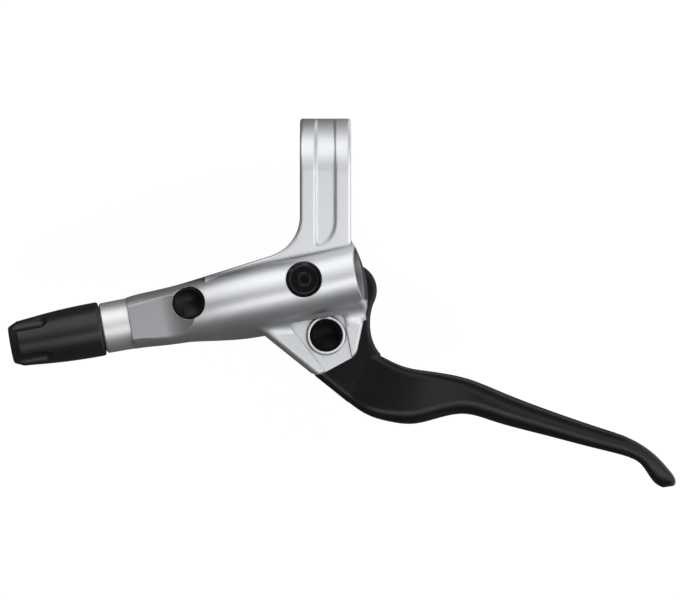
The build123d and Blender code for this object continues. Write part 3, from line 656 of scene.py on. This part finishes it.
class BRAKELEVER_OT_stage(bpy.types.Operator):
    """Set up the floor, the lights, the grey cards and the camera"""

    bl_idname = "brakelever.stage"
    bl_label = "Stage"

    def execute(self, context):
        scene = context.scene
        stage = scene.lever_stage
        scene.view_settings.view_transform = "Standard"
        centre = Vector(stage.view_centre)
        camera = bpy.data.cameras.new("Camera")
        camera.lens = stage.lens
        view = bpy.data.objects.new("Camera", camera)
        view.location = centre + UP * (stage.view_width * camera.lens / camera.sensor_width)
        scene.collection.objects.link(view)
        scene.camera = view
        # Each lamp has its place from the middle of the view, and its width and height
        for name, place, size, power in (
                ("Rear light", (-0.12, 0.47, 0.38), (0.5, 0.5), stage.rear_power),
                ("Top strip", (0.04, -0.2, 0.58), (0.52, 0.05), stage.strip_power),
                ("Right light", (0.45, -0.05, 0.35), (0.3, 0.5), stage.right_power)):
            softbox(name, centre + Vector(place), size, power, centre)
        low = -stage.floor_drop
        far = FLOOR_REACH
        corners = [(-far, -far, low), (far, -far, low), (far, far, low), (-far, far, low)]
        sheet("Floor", corners, self.floor_paper(stage))
        self.cards(centre, low + CARD_LIFT, stage)
        world = bpy.data.worlds.new("Studio")
        world.use_nodes = True
        tree = world.node_tree
        tree.nodes.clear()
        glow = add(tree, "ShaderNodeBackground", {"Color": linear("FFFFFF"), "Strength": stage.world_level})
        add(tree, "ShaderNodeOutputWorld", {"Surface": glow.outputs[0]})
        scene.world = world
        return {"FINISHED"}

    def floor_paper(self, stage):
        """White paper that the camera and the reflections see as white, with the shadow still on it"""
        material, tree, matt = paper("White paper, matt", stage.floor_colour, fibre_tone=0.995)
        glow = add(tree, "ShaderNodeEmission", {"Color": linear("FFFFFF"), "Strength": 1.0}).outputs[0]
        rays = add(tree, "ShaderNodeLightPath").outputs
        seen = rays["Is Camera Ray"]
        for ray in ("Is Glossy Ray", "Is Transmission Ray"):
            seen = add(tree, "ShaderNodeMath", {0: seen, 1: rays[ray]}, operation="MAXIMUM").outputs[0]
        share = add(tree, "ShaderNodeMath", {0: seen, 1: FLOOR_GLOW}, operation="MULTIPLY").outputs[0]
        mixed = add(tree, "ShaderNodeMixShader", {0: share, 1: matt, 2: glow}).outputs[0]
        add(tree, "ShaderNodeOutputMaterial", {"Surface": mixed})
        return material

    def cards(self, centre, low, stage):
        """Grey cards round the lever, which give the metal its dark flanks and the black paint its depth"""
        cards = {}
        for name, colour in (
                ("Dark grey card, matt", stage.card_colour), ("Grey card, matt", stage.floor_card_colour),
                ("Charcoal card, matt", stage.top_card_colour)):
            cards[name], tree, matt = paper(name, colour, fibre_tone=0.98)
            add(tree, "ShaderNodeOutputMaterial", {"Surface": matt})
        # Standing cards: two places on the floor from the middle of the view, and the height of the top edge
        standing = {
            "Front_card": ((-0.9, -0.56), (0.9, -0.56), 0.62),
            "Left_card": ((-0.4, -0.56), (-0.4, 0.25), 0.9),
            "Rear_card": ((-0.9, 0.74), (-0.1, 0.74), 0.14),
            "Right_rear_card": ((0.14, 0.55), (0.32, 0.42), 0.6)}
        shapes = {}
        for name, (start, end, top) in standing.items():
            shapes[name] = [(*start, low), (*end, low), (*end, top), (*start, top)]
        # The floor card leaves the paper bare behind the clamp
        shapes["Floor_card"] = [(x, y, low) for x, y in (
            (-0.65, -0.56), (0.13, -0.56), (0.13, 0.06), (0.01, 0.06), (0.01, 0.74), (-0.65, 0.74))]
        overhead = 0.8
        shapes["Top_card"] = [(x, y, overhead) for x, y in (
            (-0.35, -0.12), (0.1, -0.12), (0.1, 0.12), (-0.35, 0.12))]
        tones = {"Floor_card": "Grey card, matt", "Top_card": "Charcoal card, matt"}
        for name, corners in shapes.items():
            card = cards[tones.get(name, "Dark grey card, matt")]
            piece = sheet(name, [(centre.x + x, centre.y + y, z) for x, y, z in corners], card)
            piece.visible_camera = False
            piece.visible_diffuse = False
            piece.visible_shadow = False
            piece.visible_transmission = False


class BRAKELEVER_PT_panel(bpy.types.Panel):
    """Finishes and stage of the brake lever"""

    bl_idname = "BRAKELEVER_PT_panel"
    bl_label = "Brake Lever"
    bl_space_type = "VIEW_3D"
    bl_region_type = "UI"
    bl_category = "Brake Lever"

    def draw(self, context):
        for operator in OPERATORS:
            self.layout.operator(operator.bl_idname)
        for group in (context.scene.lever_colours, context.scene.lever_sizes, context.scene.lever_stage):
            box = self.layout.box()
            for name in group.bl_rna.properties.keys():
                if name not in ("rna_type", "name"):
                    box.prop(group, name)


GROUPS = {"lever_colours": LeverColours, "lever_sizes": LeverSizes, "lever_stage": StageSettings}
OPERATORS = [
    BRAKELEVER_OT_cast_body, BRAKELEVER_OT_finger_lever, BRAKELEVER_OT_hose_cover, BRAKELEVER_OT_caps,
    BRAKELEVER_OT_screws, BRAKELEVER_OT_steel_parts, BRAKELEVER_OT_return_spring, BRAKELEVER_OT_brass_parts,
    BRAKELEVER_OT_bushes, BRAKELEVER_OT_seals, BRAKELEVER_OT_stage]
CLASSES = [*GROUPS.values(), *OPERATORS, BRAKELEVER_PT_panel]


def register():
    for cls in CLASSES:
        bpy.utils.register_class(cls)
    for name, group in GROUPS.items():
        setattr(bpy.types.Scene, name, PointerProperty(type=group))


def unregister():
    for name in GROUPS:
        delattr(bpy.types.Scene, name)
    for cls in reversed(CLASSES):
        bpy.utils.unregister_class(cls)


def main():
    register()
    for operator in OPERATORS:
        module, name = operator.bl_idname.split(".")
        getattr(getattr(bpy.ops, module), name)()


if __name__ == "__main__":
    main()
